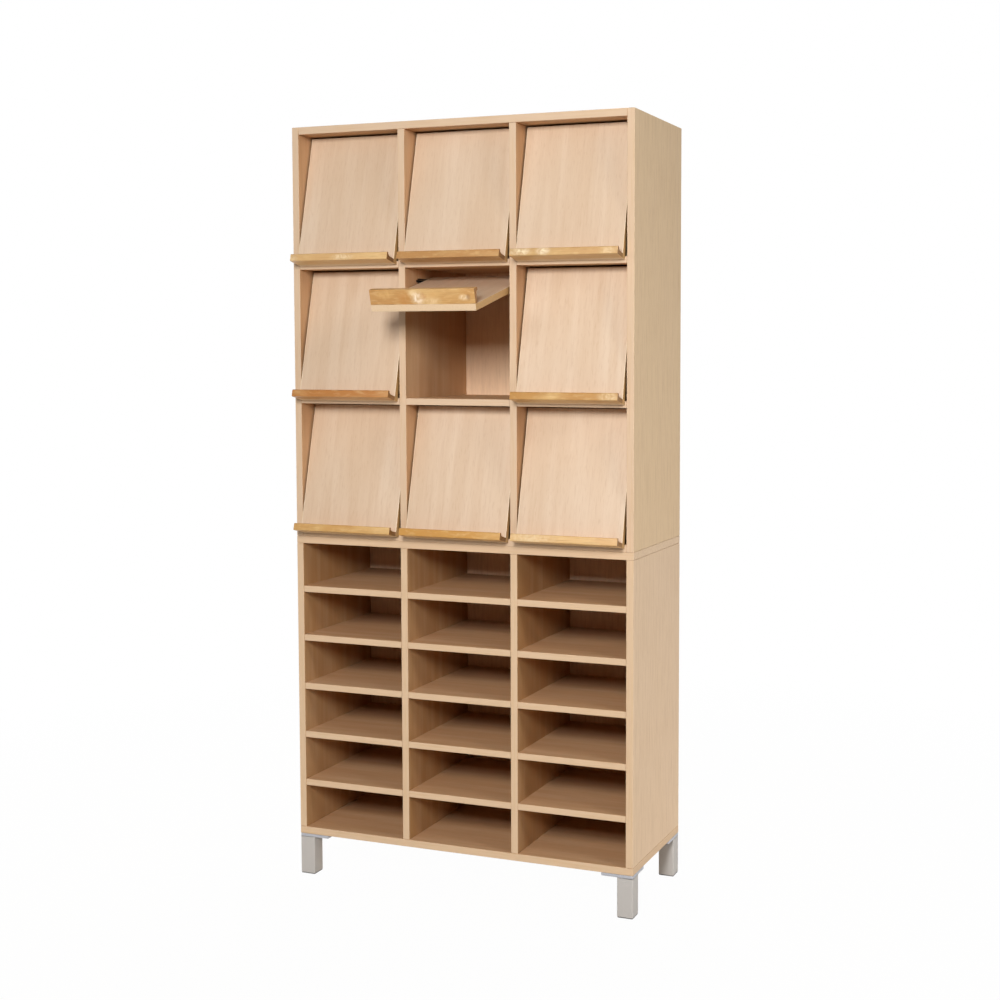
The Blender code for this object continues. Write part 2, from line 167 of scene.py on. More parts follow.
# Boards of the carcass and the flaps
mapleBoard = {
    # the inside tones are painted: walls and shelves darker than the outside as painted shade in the
    # compartments, the back paler as painted light where the lamps reach it
    "units": {
        "upper": {"outside": "#E6C9A3", "band": "#DDC0A2", "wall": "#C49970", "shelf": "#C89D73",
                  "back": "#F2D1B0"},
        # the upper walls are lighter than the lower ones as painted light beside the flaps; the lower unit's
        # outside is paler, a painted sheen from the floor
        "lower": {"outside": "#E8CCAD", "band": "#DDBF9E", "wall": "#BB8F60", "shelf": "#C69B72",
                  "back": "#F2D1B0"}},
    # the flaps' side tone is a darker painted shade on their side faces
    "flapFace": "#D6B99B", "flapBand": "#E0C39F", "flapLine": "#E4CEB0", "flapSideShade": "#B5905D",
    # roughness between the dashes and in them, and specular level
    "carcassGloss": (0.42, 0.56, 0.05), "flapGloss": (0.33, 0.44, 0.47),
    "bandThick": 0.002, "emboss": 0.3, "embossDepth": 0.00008,
    "edgeFacing": 0.6,                  # how squarely a face has to look one way to count as looking so
    "flapShift": (0.37, 0.11, 0.53),    # moves the grain on from one flap to the next
    # dashes are under 1 mm wide on the real print, drawn coarser so that they show
    "patterns": {"cloud": (150, 3, 2), "broad": (28, 14, 2), "streak": (6, 20, 3), "dash": (2.4, 9, 2),
                 "bandLine": (3, 30, 1)},
    "flapLayers": (("cloud", 0.40, 0.66, "#E2C9AF", 0.40), ("broad", 0.42, 0.68, "#E6D0B8", 0.40),
                   ("streak", 0.52, 0.76, "#C49F7E", 0.24), ("dash", 0.54, 0.74, "#BE9773", 0.28)),
    "carcassLayers": (("cloud", 0.40, 0.66, "#DFC09A", 0.14), ("broad", 0.42, 0.68, "#E6C9A8", 0.18),
                      ("streak", 0.46, 0.76, "#A87E56", 0.20), ("dash", 0.50, 0.78, "#A87E56", 0.14)),
    "bandLayers": (("bandLine", 0.45, 0.75, "#CFA878", 0.25),),
}


def mapleMelamine(name, tones, grain, thickness, outer=(), tilt=0.0, shift=(0, 0, 0), span=None):
    # chipboard faced with printed maple melamine: pale, fine short fibres in soft broad bands, an
    # embossed satin face, and plain glued edging, which also shows as a line along a flap's sides; on the
    # carcass, faces that look outward take the outside tone and the rest a darker inside tone, painted shade,
    # and a flap's side faces take a darker painted shade too
    material, tree, shader = newMaterial(name)
    coords = addNode(tree, "ShaderNodeTexCoord")
    turned = addNode(tree, "ShaderNodeMapping", {
        "Vector": coords.outputs["Object"], "Location": shift, "Rotation": (tilt, 0, 0)})
    fields = grainFields(tree, turned.outputs[0], grain, mapleBoard["patterns"])
    face, band, outside = [linearColor(tone) for tone in tones]
    # faces that look outward take the outside tone; the rest keep the inside tone, with its painted shade
    for way in outer:
        turnedOut = addNode(tree, "ShaderNodeVectorMath", {
            0: coords.outputs["Normal"], 1: way}, operation="DOT_PRODUCT")
        seenOut = addNode(tree, "ShaderNodeMath", {
            0: turnedOut.outputs["Value"], 1: mapleBoard["edgeFacing"]}, operation="GREATER_THAN")
        sided = addNode(tree, "ShaderNodeMix", {
            0: seenOut.outputs[0], 6: face, 7: outside}, data_type="RGBA")
        face = sided.outputs[2]
    faceColor = layeredColor(tree, face, mapleBoard["flapLayers" if span else "carcassLayers"], fields)
    bandColor = layeredColor(tree, band, mapleBoard["bandLayers"], fields)
    facing = addNode(tree, "ShaderNodeVectorMath", {
        0: coords.outputs["Normal"], 1: thickness}, operation="DOT_PRODUCT")
    flat = addNode(tree, "ShaderNodeMath", {0: facing.outputs["Value"]}, operation="ABSOLUTE")
    edge = addNode(tree, "ShaderNodeMath", {
        0: flat.outputs[0], 1: mapleBoard["edgeFacing"]}, operation="LESS_THAN")
    if span:
        # painted shade: a flap's side faces take a darker tone
        looks = addNode(tree, "ShaderNodeSeparateXYZ", {0: coords.outputs["Normal"]})
        across = addNode(tree, "ShaderNodeMath", {0: looks.outputs["X"]}, operation="ABSOLUTE")
        side = addNode(tree, "ShaderNodeMath", {
            0: across.outputs[0], 1: mapleBoard["edgeFacing"]}, operation="GREATER_THAN")
        shadedSide = addNode(tree, "ShaderNodeMix", {
            0: side.outputs[0], 6: bandColor, 7: linearColor(mapleBoard["flapSideShade"])}, data_type="RGBA")
        bandColor = shadedSide.outputs[2]
        middle, reach = sum(span) / 2, (span[1] - span[0]) / 2 - mapleBoard["bandThick"]
        place = addNode(tree, "ShaderNodeSeparateXYZ", {0: coords.outputs["Object"]})
        aside = addNode(tree, "ShaderNodeMath", {0: place.outputs["X"], 1: middle}, operation="SUBTRACT")
        away = addNode(tree, "ShaderNodeMath", {0: aside.outputs[0]}, operation="ABSOLUTE")
        lined = addNode(tree, "ShaderNodeMath", {0: away.outputs[0], 1: reach}, operation="GREATER_THAN")
        pale = addNode(tree, "ShaderNodeMix", {
            0: lined.outputs[0], 6: faceColor, 7: outside}, data_type="RGBA")
        faceColor = pale.outputs[2]
    color = addNode(tree, "ShaderNodeMix", {0: edge.outputs[0], 6: faceColor, 7: bandColor}, data_type="RGBA")
    tree.links.new(color.outputs[2], shader.inputs["Base Color"])
    low, high, specular = mapleBoard["flapGloss" if span else "carcassGloss"]
    shader.inputs["Specular IOR Level"].default_value = specular
    rough = addNode(tree, "ShaderNodeMapRange", {"Value": fields["dash"], "To Min": low, "To Max": high})
    tree.links.new(rough.outputs[0], shader.inputs["Roughness"])
    emboss = addNode(tree, "ShaderNodeBump", {
        "Height": fields["dash"], "Strength": mapleBoard["emboss"], "Distance": mapleBoard["embossDepth"]})
    tree.links.new(emboss.outputs[0], shader.inputs["Normal"])
    return material


# tone inside, which is painted shade on walls and shelves and painted light on the back, grain, the ways that
# the board's melamine faces look, and those of them that look outward; the ends of a top count as faces,
# since they show in the outer side
boardKinds = {
    "divider": ("wall", "Z", (1, 0, 0), ()), "side_left": ("wall", "Z", (1, 0, 0), ((-1, 0, 0),)),
    "side_right": ("wall", "Z", (1, 0, 0), ((1, 0, 0),)), "shelf": ("shelf", "X", (0, 0, 1), ()),
    "top": ("wall", "X", (1, 0, 1), ((0, 0, 1), (1, 0, 0), (-1, 0, 0))),
    "bottom": ("shelf", "X", (0, 0, 1), ((0, 0, -1),)), "back": ("back", "Z", (0, 1, 0), ((0, 1, 0),)),
}
for unit, toneOf in mapleBoard["units"].items():
    for kind, (inside, *settings) in boardKinds.items():
        tones = (toneOf[inside], toneOf["band"], toneOf["outside"])
        faced = mapleMelamine(f"maple_melamine_{unit}_{kind}", tones, *settings)
        for name in nodes:
            if name.startswith(f"{unit}_{kind}"):
                finish(nodes[name], faced)


def flapFrame(mark):
    # pivot, tilt and panel limits of a flap, read from the frame: the panel's broad front face
    # gives the tilt, and its corners give how far it runs out and up from the pivot
    mesh = nodes[f"flap_panel_{mark}"].data
    normals = np.zeros(len(mesh.polygons) * 3)
    areas = np.zeros(len(mesh.polygons))
    mesh.polygons.foreach_get("normal", normals)
    mesh.polygons.foreach_get("area", areas)
    normals = normals.reshape(-1, 3)
    front = normals[np.argmax(np.where(normals[:, 1] < 0, areas, 0))]
    tilt = math.atan2(front[2], -front[1])
    pivot = next(j for j in frame["joints"] if j["name"] == f"flap_lift_{mark}")["pos_m"]
    points = np.zeros(len(mesh.vertices) * 3)
    mesh.vertices.foreach_get("co", points)
    points = points.reshape(-1, 3)
    local = points - pivot
    out = -local[:, 1] * math.cos(tilt) + local[:, 2] * math.sin(tilt)
    up = local[:, 1] * math.sin(tilt) + local[:, 2] * math.cos(tilt)
    return {"pivot": np.array(pivot), "tilt": tilt, "face": out.max(), "foot": up.min(),
            "span": (points[:, 0].min(), points[:, 0].max())}


def flapPlaces(flap, x, out, up):
    # from a flap's own directions, out from its face and up along it, to places in the frame
    sine, cosine = math.sin(flap["tilt"]), math.cos(flap["tilt"])
    y = flap["pivot"][1] - out * cosine + up * sine
    z = flap["pivot"][2] + out * sine + up * cosine
    return np.stack(np.broadcast_arrays(x, y, z), axis=-1)


flapFrames = {mark: flapFrame(mark) for mark in marks}
for i, mark in enumerate(marks):
    flap = flapFrames[mark]
    normal = (0, -math.cos(flap["tilt"]), math.sin(flap["tilt"]))
    tones = (mapleBoard["flapFace"], mapleBoard["flapBand"], mapleBoard["flapLine"])
    faced = mapleMelamine(f"maple_melamine_flap_{mark}", tones, "Z", normal, (), flap["tilt"],
                          [step * i for step in mapleBoard["flapShift"]], flap["span"])
    finish(nodes[f"flap_panel_{mark}"], faced)
print("boards finished")


# Ledges at the feet of the flaps
birchLedge = {
    "projection": 0.035, "lipHeight": 0.018, "lipThick": 0.007, "lipRound": 0.003, "arris": 0.0006,
    "floor": 0.0105, "footRound": 0.002, "gap": 0.0003, "endRound": 0.0008, "endSteps": 4,
    "arrisSteps": 4, "coveFrom": -10, "coveSteps": 14,      # the cove starts 10 degrees round, off the lip
    "tones": {"1_1": "#D4A972", "1_2": "#BA8952", "1_3": "#CBA06A", "2_1": "#B4763B", "2_2": "#C29055",
              "2_3": "#BC8A4B", "3_1": "#C8995A", "3_2": "#C69149", "3_3": "#DAAE77"},
    # painted light: the foot of a closed ledge is paled toward a cream tone, standing in for light thrown up
    # from the floor
    "endGrain": "#8E6436", "footLight": "#F2CC90", "footLightShare": 0.20,
    "roughness": (0.34, 0.48), "specular": 0.35,
    "endFacing": 0.7, "footFacing": (0.6, 0.9),     # how squarely an end and the foot look their own way
    "raisedFrom": math.radians(45), "grainShift": (0.41, 0.07, 0.19),
    "patterns": {"streak": (3, 18, 3), "patch": (60, 2.2, 2), "flame": (8, 3, 4)},
    "layers": (("patch", 0.48, 0.72, "#EBC98C", 0.45), ("flame", 0.50, 0.72, "#F0D29A", 0.30),
               ("streak", 0.50, 0.74, "#A87842", 0.40)),
    "curlMm": 16.0, "curlTwist": 1.4, "curlDetail": 2.0, "curlRange": (0.36, 0.62), "curlLeast": 0.25,
    # figure in the face that shows: place along and across it, length and height in mm, tone and its share,
    # which is whole out to figureCore of the size and then fades
    "figureCore": 0.2,
    "figure": {
        "1_1": ((0.03, 0.5, 22, 16, "#F4E0BA", 0.40), (0.54, 0.4, 40, 12, "#F6E2BA", 0.60)),
        "1_3": ((0.10, 0.5, 36, 14, "#FBEBC8", 0.75), (0.315, 0.5, 24, 14, "#FCEDCB", 0.85),
                (0.92, 0.5, 30, 16, "#F3DDB0", 0.45)),
        "2_2": ((0.15, 0.7, 34, 16, "#E6BC7C", 0.45), (0.34, 0.4, 24, 24, "#BE7F3E", 0.55),
                (0.42, 0.75, 18, 16, "#F0D2A2", 0.70), (0.465, 0.40, 22, 20, "#FBE6CB", 0.95),
                (0.58, 0.22, 36, 14, "#F0D2A4", 0.55), (0.515, 0.55, 13, 12, "#BE7836", 0.70),
                (0.60, 0.6, 16, 12, "#CC8F4C", 0.40),
                (0.90, 0.42, 18, 9, "#F6DFBB", 0.95), (0.938, 0.45, 8, 11, "#8F6032", 0.80)),
        "2_3": ((0.24, 0.5, 24, 16, "#B98446", 0.35), (0.91, 0.5, 34, 16, "#F3DEB2", 0.60)),
        "3_2": ((0.30, 0.5, 40, 14, "#C2884A", 0.35),), "3_3": ((0.20, 0.5, 80, 26, "#F3DFB8", 0.45),)},
}


def ledgeProfile(flap):
    # from the back of the foot: along the foot, a small arc, up the lip's face, a larger arc over the
    # lip, a quarter cove down behind it and along the floor to the panel; out and up from the pivot
    back = flap["face"] + birchLedge["gap"]
    front = back + birchLedge["projection"]
    foot, top = flap["foot"], flap["foot"] + birchLedge["lipHeight"]
    cove = birchLedge["lipHeight"] - birchLedge["floor"]
    lipBack = front - birchLedge["lipThick"]
    r, lip, arris = birchLedge["footRound"], birchLedge["lipRound"], birchLedge["arris"]
    return np.concatenate([
        [(back, foot)], arcPoints((front - r, foot + r), r, -90, 0),
        arcPoints((front - lip, top - lip), lip, 0, 90),
        arcPoints((lipBack + arris, top - arris), arris, 90, 180, birchLedge["arrisSteps"]),
        arcPoints((lipBack - cove, top), cove, birchLedge["coveFrom"], -90, birchLedge["coveSteps"]),
        [(back, foot + birchLedge["floor"])]])


def ledgeShell(flap):
    # the profile carried straight across the flap; at both ends it draws in by a quarter circle
    profile = ledgeProfile(flap)
    inward = -outwardNormals(profile)
    turn = np.linspace(0, np.pi / 2, birchLedge["endSteps"] + 1)
    along = birchLedge["endRound"] * (1 - np.cos(turn))
    drawnIn = birchLedge["endRound"] * (1 - np.sin(turn))
    x = np.concatenate([flap["span"][0] + along, (flap["span"][1] - along)[::-1]])
    inset = np.concatenate([drawnIn, drawnIn[::-1]])
    rings = profile + inset[:, None, None] * inward
    return flapPlaces(flap, x[:, None], rings[..., 0], rings[..., 1])


def birchWood(mark):
    # solid birch, planed and lacquered: golden, streaked along the grain, with pale curly figure that
    # catches the light, a foot paled with painted light from below while the flap is closed, and dark end
    # grain
    flap = flapFrames[mark]
    i = marks.index(mark)
    material, tree, shader = newMaterial(f"birch_ledge_{mark}")
    shader.inputs["Specular IOR Level"].default_value = birchLedge["specular"]
    coords = addNode(tree, "ShaderNodeTexCoord")
    turned = addNode(tree, "ShaderNodeMapping", {
        "Vector": coords.outputs["Object"], "Location": [step * i for step in birchLedge["grainShift"]],
        "Rotation": (flap["tilt"], 0, 0)})
    fields = grainFields(tree, turned.outputs[0], "X", birchLedge["patterns"])
    color = layeredColor(tree, linearColor(birchLedge["tones"][mark]), birchLedge["layers"], fields)
    curl = addNode(tree, "ShaderNodeTexNoise", {
        "Vector": turned.outputs[0], "Scale": mmInMetre / birchLedge["curlMm"],
        "Detail": birchLedge["curlDetail"], "Distortion": birchLedge["curlTwist"]})
    # a closed flap shows its lip, a raised one its foot
    raised = flap["tilt"] > birchLedge["raisedFrom"]
    shown = np.array([birchLedge["projection"], 0.0] if raised else [0.0, birchLedge["lipHeight"]])
    start = np.array([flap["face"] + (0.0 if raised else birchLedge["projection"]), flap["foot"]])
    low, high = birchLedge["curlRange"]
    curled = addNode(tree, "ShaderNodeMapRange", {
        "Value": curl.outputs["Fac"], "From Min": low, "From Max": high,
        "To Min": birchLedge["curlLeast"], "To Max": 1.0})
    for along, across, lengthMm, heightMm, tone, share in birchLedge["figure"].get(mark, ()):
        x = flap["span"][0] + along * (flap["span"][1] - flap["span"][0])
        middle = flapPlaces(flap, x, *(start + across * shown))
        aside = addNode(tree, "ShaderNodeVectorMath", {
            0: coords.outputs["Object"], 1: middle.tolist()}, operation="SUBTRACT")
        sized = addNode(tree, "ShaderNodeVectorMath", {
            0: aside.outputs[0], 1: [mmInMetre / size for size in (lengthMm, heightMm, heightMm)]},
            operation="MULTIPLY")
        away = addNode(tree, "ShaderNodeVectorMath", {0: sized.outputs[0]}, operation="LENGTH")
        patch = addNode(tree, "ShaderNodeMapRange", {
            "Value": away.outputs["Value"], "From Min": birchLedge["figureCore"], "From Max": 1.0,
            "To Min": share, "To Max": 0.0}, interpolation_type="SMOOTHSTEP")
        mask = addNode(tree, "ShaderNodeMath", {
            0: patch.outputs[0], 1: curled.outputs[0]}, operation="MULTIPLY")
        mix = addNode(tree, "ShaderNodeMix", {
            0: mask.outputs[0], 6: color, 7: linearColor(tone)}, data_type="RGBA")
        color = mix.outputs[2]
    # painted light: faces that look down along the flap are mixed toward the pale foot tone on a closed flap,
    # and not at all on a raised one
    footward = (0, -math.sin(flap["tilt"]), -math.cos(flap["tilt"]))
    below = addNode(tree, "ShaderNodeVectorMath", {
        0: coords.outputs["Normal"], 1: footward}, operation="DOT_PRODUCT")
    low, high = birchLedge["footFacing"]
    litFoot = addNode(tree, "ShaderNodeMapRange", {
        "Value": below.outputs["Value"], "From Min": low, "From Max": high,
        "To Min": 0.0, "To Max": 0.0 if raised else birchLedge["footLightShare"]})
    pale = addNode(tree, "ShaderNodeMix", {
        0: litFoot.outputs[0], 6: color, 7: linearColor(birchLedge["footLight"])}, data_type="RGBA")
    sides = addNode(tree, "ShaderNodeSeparateXYZ", {0: coords.outputs["Normal"]})
    flat = addNode(tree, "ShaderNodeMath", {0: sides.outputs["X"]}, operation="ABSOLUTE")
    end = addNode(tree, "ShaderNodeMath", {
        0: flat.outputs[0], 1: birchLedge["endFacing"]}, operation="GREATER_THAN")
    mix = addNode(tree, "ShaderNodeMix", {
        0: end.outputs[0], 6: pale.outputs[2], 7: linearColor(birchLedge["endGrain"])}, data_type="RGBA")
    tree.links.new(mix.outputs[2], shader.inputs["Base Color"])
    low, high = birchLedge["roughness"]
    rough = addNode(tree, "ShaderNodeMapRange", {"Value": fields["streak"], "To Min": low, "To Max": high})
    tree.links.new(rough.outputs[0], shader.inputs["Roughness"])
    return material


for mark in marks:
    makePiece(f"birch_ledge_{mark}", [ledgeShell(flapFrames[mark])], birchWood(mark), f"flap_{mark}",
              [f"flap_ledge_{mark}"])
print("ledges made")


# Metal and plastic
plainFinish = {     # colour, roughness, metallic, specular level, speckle size in mm
    "silverCoat": ("#C3BFBB", 0.45, 0.0, 0.08, 1.0), "zincPlate": ("#B7B8BF", 0.38, 0.2, 0.3, 2.5),
    "drawnSteel": ("#C8C8C9", 0.25, 1.0, 0.5, 0.8), "glidePlastic": ("#6E6C6A", 0.55, 0.0, 0.3, 1.2),
    "blackPlastic": ("#17130F", 0.45, 0.0, 0.4, 0.9),
}
plainSpeckle = {"detail": 2.0, "spread": 0.06}     # spread is how far it moves the roughness either way


def plainMaterial(name, color, roughness, metallic, specular, speckleMm):
    # an even tone with a soft highlight that a fine speckle breaks up
    material, tree, shader = newMaterial(name)
    coords = addNode(tree, "ShaderNodeTexCoord")
    speckle = addNode(tree, "ShaderNodeTexNoise", {
        "Vector": coords.outputs["Object"], "Scale": mmInMetre / speckleMm,
        "Detail": plainSpeckle["detail"]})
    shade = addNode(tree, "ShaderNodeMapRange", {
        "Value": speckle.outputs["Fac"], "To Min": roughness - plainSpeckle["spread"],
        "To Max": roughness + plainSpeckle["spread"]})
    tree.links.new(shade.outputs[0], shader.inputs["Roughness"])
    shader.inputs["Base Color"].default_value = linearColor(color)
    shader.inputs["Metallic"].default_value = metallic
    shader.inputs["Specular IOR Level"].default_value = specular
    return material


silver = plainMaterial("silver_coated_steel", *plainFinish["silverCoat"])     # satin grey, a broad soft light
zinc = plainMaterial("zinc_plated_steel", *plainFinish["zincPlate"])          # bluish, brighter at a slant
steel = plainMaterial("drawn_steel", *plainFinish["drawnSteel"])              # a clear narrow glint
greyPlastic = plainMaterial("grey_polyethylene", *plainFinish["glidePlastic"])     # dull, a little waxy
blackPlastic = plainMaterial("black_polyamide", *plainFinish["blackPlastic"])      # near black, dim sheen
for name, node in nodes.items():
    if name.startswith(("pivot_rod_", "unit_bolt_")):
        finish(node, steel)


# Guide strips that line the rod grooves: a rim round the mouth, open at the front, and a thin floor
guideStrip = {
    "lead": 0.005, "travel": 0.210, "inside": 0.0034, "outside": 0.0066, "proud": 0.0012,
    "round": 0.0004, "roundSteps": 3, "offWall": 0.00005, "endSteps": 16,
    "floorHalf": 0.0032, "floorDepth": 0.0060, "floorThick": 0.0004,
}


def stadiumPlaces(pivotY, pivotZ, x, radius):
    # straight back from the front, a half circle about the groove's far end, and straight to the front
    # again, at each radius from its middle line
    halfTurn = np.linspace(90, -90, guideStrip["endSteps"] + 1)
    turn = np.radians(np.concatenate([[90], halfTurn, [-90]]))
    middleY = pivotY + np.concatenate([
        [guideStrip["lead"]], np.full(len(halfTurn), guideStrip["travel"]), [guideStrip["lead"]]])
    y = middleY[:, None] + radius * np.cos(turn)[:, None]
    z = pivotZ + radius * np.sin(turn)[:, None]
    return np.stack(np.broadcast_arrays(x, y, z), axis=-1)


def guideStripShells(pivotY, pivotZ, wallX, inward):
    # the rim is a rounded section carried along that path: its width runs away from the middle line and
    # its height off the wall; the floor is the path itself, closed, carried straight through its thickness
    half = (guideStrip["outside"] - guideStrip["inside"]) / 2
    tall = guideStrip["proud"] / 2
    section = roundedBox(half, tall, guideStrip["round"], guideStrip["roundSteps"])
    rim = stadiumPlaces(pivotY, pivotZ, wallX + inward * (guideStrip["offWall"] + tall + section[:, 1]),
                        guideStrip["inside"] + half + section[:, 0])
    depth = guideStrip["floorDepth"] + np.array([0, guideStrip["floorThick"]])
    floor = stadiumPlaces(pivotY, pivotZ, wallX - inward * depth, guideStrip["floorHalf"])
    return [rim, floor.transpose(1, 0, 2)]


uprights = ["upper_side_left", "upper_divider_left", "upper_divider_right", "upper_side_right"]
for mark in marks:
    column = int(mark[2])
    pivotZ = flapFrames[mark]["pivot"][2]
    pivotY = flapFrames["1_1"]["pivot"][1]      # a closed flap's rod is at the front of its groove
    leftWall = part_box(uprights[column - 1])[1][0]
    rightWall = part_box(uprights[column])[0][0]
    for side, wallX, inward in (("left", leftWall, 1), ("right", rightWall, -1)):
        makePiece(f"guide_strip_{mark}_{side}", guideStripShells(pivotY, pivotZ, wallX, inward), blackPlastic,
                  "cabinet")
print("guide strips made")


# Legs: tube with its weld, plate, screws and glide
legSet = {
    "tube": 0.040, "tubeCorner": 0.003, "plateThick": 0.007, "plateCorner": 0.003, "plateRound": 0.0008,
    "bead": 0.0015, "footRound": 0.0004, "glide": 0.039, "glideHeight": 0.0027, "glideRound": 0.0009,
    "screwHead": 0.0048, "screwHeight": 0.0027, "screwTip": 0.03,
    "recess": 0.0016, "recessArm": 0.0007, "recessReach": 0.62, "recessFade": 0.2,
}


def turnedPlaces(points, turn, middle):
    # quarter turns about the upright line through the plate's middle
    sine, cosine = math.sin(turn * math.pi / 2), math.cos(turn * math.pi / 2)
    x, y, z = points[..., 0], points[..., 1], points[..., 2]
    return np.stack([middle[0] + x * cosine - y * sine, middle[1] + x * sine + y * cosine, z], axis=-1)


def easedBlock(half, corner, low, high, lowRound, highRound, steps=4):
    # a rounded square carried up from low to high, drawn in by quarter circles at the two ends
    outline = roundedBox(half, half, corner)
    inward = -outwardNormals(outline)
    turn = np.linspace(0, np.pi / 2, steps + 1)
    z = np.concatenate([low + lowRound * (1 - np.cos(turn)), (high - highRound * (1 - np.cos(turn)))[::-1]])
    inset = np.concatenate([lowRound * (1 - np.sin(turn)), (highRound * (1 - np.sin(turn)))[::-1]])
    rings = outline + inset[:, None, None] * inward
    return np.concatenate([rings, np.broadcast_to(z[:, None, None], (*rings.shape[:2], 1))], axis=-1)


def weldBead(half, corner, top, steps=6):
    # the tube's outline swells into the plate by a quarter cove, only on the two sides that face inward
    outline = roundedBox(half, half, corner)
    outward = outwardNormals(outline)
    inner = np.clip(outward.max(axis=1), 0, 1)
    rise = np.linspace(0, 1, steps + 1)
    swell = legSet["bead"] * (1 - np.sqrt(1 - rise ** 2))
    rings = outline + swell[:, None, None] * (inner[:, None] * outward)
    z = top - legSet["bead"] * (1 - rise)
    return np.concatenate([rings, np.broadcast_to(z[:, None, None], (*rings.shape[:2], 1))], axis=-1)


def screwShell(middleX, middleY, under, steps=16, around=48):
    # a flattened dome below the plate: depth falls off as the root of one less the radius squared, in
    # shares of the head; a cross is sunk into it, whole to half the width of its arms and fading from
    # there to their sides, and fading along them too
    share = np.linspace(1, legSet["screwTip"], steps + 1)[:, None]
    turn = np.linspace(0, 2 * np.pi, around, endpoint=False)
    x = legSet["screwHead"] * share * np.cos(turn)
    y = legSet["screwHead"] * share * np.sin(turn)
    dome = legSet["screwHeight"] * np.sqrt(1 - share ** 2)
    arm = np.clip(2 - np.minimum(np.abs(x), np.abs(y)) / legSet["recessArm"] * 2, 0, 1)
    sunk = legSet["recess"] * arm * np.clip((legSet["recessReach"] - share) / legSet["recessFade"], 0, 1)
    return np.stack(np.broadcast_arrays(middleX + x, middleY + y, under - dome + sunk), axis=-1)


for turn, corner in enumerate(corners):
    low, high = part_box(f"leg_{corner}")
    middle = [(a + b) / 2 for a, b in zip(low, high)]
    halfPlate = (high[0] - low[0]) / 2
    halfTube = legSet["tube"] / 2
    off = halfPlate - halfTube
    under = high[2] - legSet["plateThick"]
    tube = easedBlock(halfTube, legSet["tubeCorner"], low[2], under, legSet["footRound"], 0.0)
    bead = weldBead(halfTube, legSet["tubeCorner"], under)
    tubeShells = [turnedPlaces(shell - (off, off, 0), turn, middle) for shell in (tube, bead)]
    makePiece(f"leg_tube_{corner}", tubeShells, silver, "cabinet", [f"leg_{corner}"])
    plate = easedBlock(halfPlate, legSet["plateCorner"], under, high[2],
                       legSet["plateRound"], legSet["plateRound"])
    makePiece(f"leg_plate_{corner}", [turnedPlaces(plate, turn, middle)], zinc, "cabinet")
    screws = [turnedPlaces(screwShell(x * off, y * off, under), turn, middle)
              for x, y in ((1, 1), (1, -1), (-1, 1))]
    makePiece(f"plate_screws_{corner}", screws, steel, "cabinet")
    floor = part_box(f"glide_{corner}")[0][2]
    foot = easedBlock(legSet["glide"] / 2, legSet["tubeCorner"], floor, floor + legSet["glideHeight"],
                      legSet["glideRound"], 0.0)
    makePiece(f"leg_glide_{corner}", [turnedPlaces(foot - (off, off, 0), turn, middle)], greyPlastic,
              "cabinet", [f"glide_{corner}"])
print("legs made")


# Floor, light and camera
studio = {
    "floorSize": 60.0, "floorColor": "#CFC7BC", "floorRoughness": 0.9,
    "farColor": "#4C4B4A", "farFrom": 1.0, "farTo": 2.4,          # metres from the middle
    "floorGlow": 0.98, "glowNear": 0.9, "glowFar": 2.6,           # share of plain white that the lens sees
    "fill": 0.002,                  # strength of the white all round, where the lens doesn't see it
    "aim": (0.0, 0.0, 0.40),        # where every lamp points
    "lamps": {
        "rightKey": {"place": (1.00, -3.6, 2.32), "size": (0.60, 0.94), "watts": 121},     # casts the shadows
        "leftKey": {"place": (-1.0, -3.1, 2.32), "size": (0.7, 0.7), "watts": 9},          # sheen on flaps
        "rightFill": {"place": (2.7, -1.0, 2.3), "size": (0.8, 0.8), "watts": 22},         # upper right side
        "lowFill": {"place": (-2.4, -1.6, 0.35), "size": (0.7, 0.5), "watts": 4},          # legs, undersides
        "sideFill": {"place": (2.85, 0.40, 0.60), "size": (0.9, 0.9), "watts": 19.5},      # lower right side
        # the sides that the photo doesn't show
        "leftFill": {"place": (-3.0, 0.2, 1.1), "size": (1.2, 1.2), "watts": 34},
        "rearFill": {"place": (-1.6, 3.4, 1.6), "size": (1.4, 1.4), "watts": 60},
        "topFill": {"place": (0.0, 1.5, 3.3), "size": (1.2, 1.2), "watts": 44}},
}


def seenRays(tree):
    # 1 for what the lens sees, straight or in a reflection or through something clear
    path = addNode(tree, "ShaderNodeLightPath")
    mirrored = addNode(tree, "ShaderNodeMath", {
        0: path.outputs["Is Camera Ray"], 1: path.outputs["Is Glossy Ray"]}, operation="MAXIMUM")
    seen = addNode(tree, "ShaderNodeMath", {
        0: mirrored.outputs[0], 1: path.outputs["Is Transmission Ray"]}, operation="MAXIMUM")
    return seen.outputs[0]


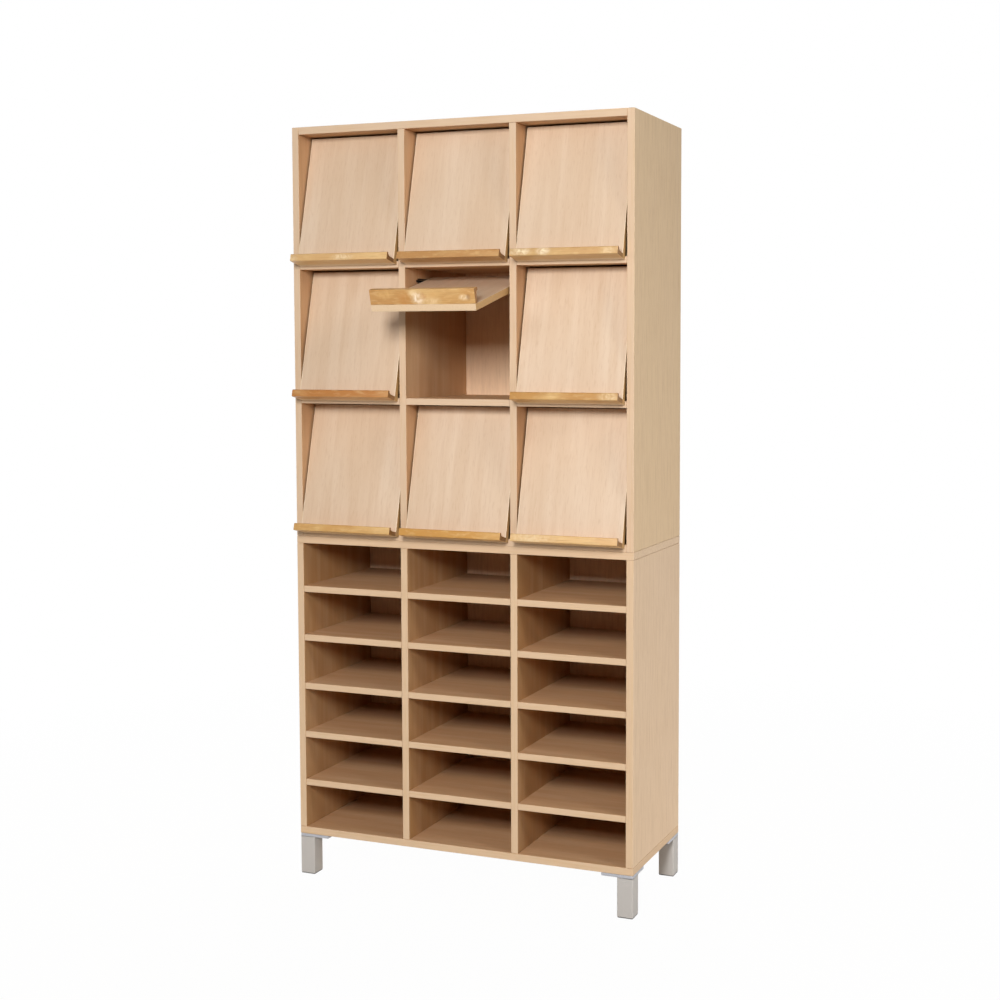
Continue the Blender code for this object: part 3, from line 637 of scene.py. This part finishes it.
def makeFloor():
    half = studio["floorSize"] / 2
    mesh = bpy.data.meshes.new("floor")
    square = half * np.array([[-1, -1, 0], [1, -1, 0], [1, 1, 0], [-1, 1, 0]])
    mesh.from_pydata(square.tolist(), [], [[0, 1, 2, 3]])
    floor = bpy.data.objects.new("floor", mesh)
    bpy.context.scene.collection.objects.link(floor)
    material, tree, shader = newMaterial("white_paper_sweep")     # matt paper, white to the lens
    shader.inputs["Roughness"].default_value = studio["floorRoughness"]
    coords = addNode(tree, "ShaderNodeTexCoord")
    away = addNode(tree, "ShaderNodeVectorMath", {0: coords.outputs["Object"]}, operation="LENGTH")
    # the lit paper throws light up from near the cabinet only
    far = addNode(tree, "ShaderNodeMapRange", {
        "Value": away.outputs["Value"], "From Min": studio["farFrom"], "From Max": studio["farTo"]})
    paper = addNode(tree, "ShaderNodeMix", {
        0: far.outputs[0], 6: linearColor(studio["floorColor"]), 7: linearColor(studio["farColor"])},
        data_type="RGBA")
    tree.links.new(paper.outputs[2], shader.inputs["Base Color"])
    # the shadow shows round the legs, and the paper turns wholly white further off
    white = addNode(tree, "ShaderNodeMapRange", {
        "Value": away.outputs["Value"], "From Min": studio["glowNear"], "From Max": studio["glowFar"],
        "To Min": studio["floorGlow"], "To Max": 1.0})
    share = addNode(tree, "ShaderNodeMath", {
        0: seenRays(tree), 1: white.outputs[0]}, operation="MULTIPLY")
    glow = addNode(tree, "ShaderNodeEmission", {"Color": (1, 1, 1, 1), "Strength": 1.0})
    mix = addNode(tree, "ShaderNodeMixShader", {
        0: share.outputs[0], 1: shader.outputs[0], 2: glow.outputs[0]})
    tree.links.new(mix.outputs[0], tree.nodes["Material Output"].inputs["Surface"])
    finish(floor, material)


def makeWorld():
    world = bpy.data.worlds.new("white_studio")
    bpy.context.scene.world = world
    world.use_nodes = True
    tree = world.node_tree
    back = tree.nodes["Background"]
    back.inputs["Color"].default_value = (1, 1, 1, 1)
    strength = addNode(tree, "ShaderNodeMapRange", {
        "Value": seenRays(tree), "To Min": studio["fill"], "To Max": 1.0})
    tree.links.new(strength.outputs[0], back.inputs["Strength"])


def makeLamp(name, settings):
    lamp = bpy.data.lights.new(name, "AREA")
    lamp.shape = "RECTANGLE"
    lamp.size, lamp.size_y = settings["size"]
    lamp.energy = settings["watts"]
    holder = bpy.data.objects.new(name, lamp)
    holder.location = settings["place"]
    toward = np.array(studio["aim"]) - settings["place"]
    # a lamp shines straight down until it is turned: tilted away from down, then turned toward the aim
    holder.rotation_euler = (math.atan2(math.hypot(toward[0], toward[1]), -toward[2]), 0,
                             math.atan2(-toward[0], toward[1]))
    holder.visible_camera = False
    bpy.context.scene.collection.objects.link(holder)


photoCamera = {
    "place": (1.5970, -3.33664, 1.33370), "yaw": 20.853, "pitch": -3.921, "roll": -0.05,     # degrees
    "focalShare": 1.5035, "shift": (-0.0964, -0.0462),     # of the frame's width
    "sensorMm": 36.0, "farClip": 200.0,
}


def makeCamera():
    lens = bpy.data.cameras.new("photo_camera")
    lens.sensor_width = photoCamera["sensorMm"]
    lens.lens = photoCamera["focalShare"] * lens.sensor_width
    lens.shift_x, lens.shift_y = photoCamera["shift"]
    lens.clip_end = photoCamera["farClip"]
    camera = bpy.data.objects.new("photo_camera", lens)
    camera.location = photoCamera["place"]
    # a camera looks straight down until it is turned: 90 degrees of tilt brings it level
    camera.rotation_euler = [math.radians(a) for a in (
        90 + photoCamera["pitch"], photoCamera["roll"], photoCamera["yaw"])]
    bpy.context.scene.collection.objects.link(camera)
    bpy.context.scene.camera = camera


makeFloor()
makeWorld()
for lampName, settings in studio["lamps"].items():
    makeLamp(lampName, settings)
makeCamera()
bpy.context.scene.view_settings.view_transform = "Standard"
print("studio ready")
